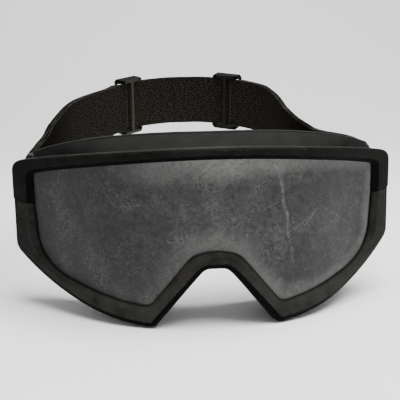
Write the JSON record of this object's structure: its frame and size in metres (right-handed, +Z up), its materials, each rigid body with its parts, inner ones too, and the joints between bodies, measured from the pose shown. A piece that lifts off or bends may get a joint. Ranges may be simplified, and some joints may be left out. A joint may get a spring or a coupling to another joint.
{
  "type": "dust goggles",
  "caption": "Wrap-round dust goggles: one curved lens in a split rim, a vented soft body with face foam, and an elastic headband with sliders.",
  "frame": {"origin": "middle of the face seal, on the eye line and the centre plane of the lens frame", "axes": "+Y backwards towards the head, +Z up, +X to the right when the lens is seen from the front"},
  "size_m": [0.1792, 0.2209, 0.099],
  "materials": {
    "rim_plastic": "moulded matte black, scuffed along its edges",
    "lens": "smoke-tinted polycarbonate with scratches and settled dust",
    "gasket_rubber": "matte",
    "body_rubber": "soft moulded, matte",
    "vent_foam": "open-cell filter foam",
    "face_foam": "soft foam",
    "fleece": "brushed fleece",
    "hard_plastic": "moulded satin black",
    "dark_steel": "blackened steel",
    "webbing": "woven elastic webbing"
  },
  "bodies": {
    "goggle_frame": {"upper_rim": "rim_plastic", "lower_rim": "rim_plastic", "lens": "lens", "lens_gasket": "gasket_rubber", "frame_body": "body_rubber", "top_vent_foam": "vent_foam", "left_vent_foam": "vent_foam", "right_vent_foam": "vent_foam", "face_foam": "face_foam", "foam_lining": "fleece", "left_bracket": "hard_plastic", "right_bracket": "hard_plastic", "bracket_screws": "dark_steel", "left_rivet": "dark_steel", "right_rivet": "dark_steel"},
    "headband": {"left_clip": "hard_plastic", "right_clip": "hard_plastic", "head_strap": "webbing", "left_tail": "webbing", "right_tail": "webbing"},
    "left_slider": {"left_slider": "hard_plastic"},
    "right_slider": {"right_slider": "hard_plastic"}
  },
  "joints": [
    {"name": "headband_swing", "type": "hinge", "parent": "goggle_frame", "child": "headband", "pos_m": [0, 0.0212, 0.0078], "axis": [1, 0, 0], "range_deg": [-35, 20]},
    {"name": "left_slider_slide", "type": "hinge", "parent": "headband", "child": "left_slider", "pos_m": [0.003, 0.124, 0.02658], "axis": [0, -0.1797, 0.9837], "range_deg": [-18, 10], "deforming": ["left_tail"]},
    {"name": "right_slider_slide", "type": "hinge", "parent": "headband", "child": "right_slider", "pos_m": [0.003, 0.124, 0.02658], "axis": [0, -0.1797, 0.9837], "range_deg": [-20, 18], "deforming": ["right_tail"]}
  ]
}
